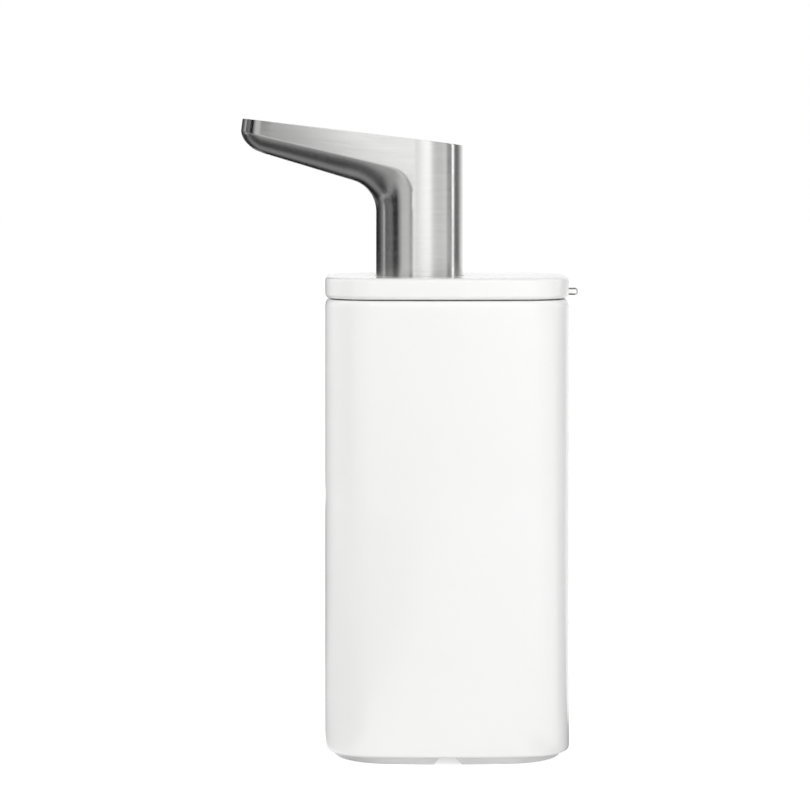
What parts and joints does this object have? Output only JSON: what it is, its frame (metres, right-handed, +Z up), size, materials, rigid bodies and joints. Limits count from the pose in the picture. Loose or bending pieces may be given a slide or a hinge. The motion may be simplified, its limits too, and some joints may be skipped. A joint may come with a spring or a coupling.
{
  "type": "soap dispenser",
  "caption": "Slim countertop pump soap dispenser: white sleeve with a lift-off lid, a brushed steel spout that is pressed down, and a release button at the back.",
  "frame": {"origin": "under the middle of the whole object's box, on the surface that the foot pads rest on", "axes": "+Z up; the spout points to -X and the release button to +X; Y runs across the body"},
  "size_m": [0.1008, 0.052, 0.189],
  "materials": {
    "white_coat": "glossy white powder coat on steel",
    "white_lid": "glossy white moulding",
    "brushed_steel": "fine brushed stainless steel",
    "polished_steel": "polished stainless steel",
    "spring_steel": "drawn steel wire and plain screws",
    "grey_silicone": "matte pale grey silicone",
    "seal_silicone": "dark grey seal silicone",
    "white_plastic": "plain white moulding",
    "clear_plastic": "translucent moulding"
  },
  "bodies": {
    "root": {"outer_shell": "white_coat", "base_plate": "white_plastic", "base_screw_1": "spring_steel", "base_screw_2": "spring_steel", "base_screw_3": "spring_steel", "base_screw_4": "spring_steel", "reservoir": "clear_plastic", "rim_collar": "white_plastic", "foot_left": "grey_silicone", "foot_right": "grey_silicone"},
    "lid": {"lid_cover": "white_lid", "lid_carrier": "white_plastic", "lid_gasket": "seal_silicone", "guide_bush": "white_plastic", "pump_barrel": "white_plastic", "barrel_cap": "white_plastic", "barrel_gasket": "seal_silicone", "inlet_ball": "polished_steel", "dip_tube": "clear_plastic", "return_spring": "spring_steel", "latch_spring": "spring_steel"},
    "pump_head": {"spout_head": "brushed_steel", "head_core": "white_plastic", "spout_tube": "clear_plastic", "nozzle_tip": "grey_silicone", "piston_stem": "white_plastic", "piston_seal": "seal_silicone", "outlet_ball": "polished_steel"},
    "release": {"release_button": "polished_steel", "latch_bar": "white_plastic"}
  },
  "joints": [
    {"name": "lid_lift", "type": "slide", "parent": "root", "child": "lid", "axis": [0, 0, 1], "range_m": [0, 0.15]},
    {"name": "pump_press", "type": "slide", "parent": "lid", "child": "pump_head", "axis": [0, 0, -1], "range_m": [0, 0.01], "stiffness_N_per_m": 400, "springref_m": -0.015, "deforming": ["return_spring"]},
    {"name": "release_press", "type": "slide", "parent": "lid", "child": "release", "axis": [-1, 0, 0], "range_m": [0, 0.002], "stiffness_N_per_m": 300, "springref_m": -0.004, "deforming": ["latch_spring"]}
  ]
}
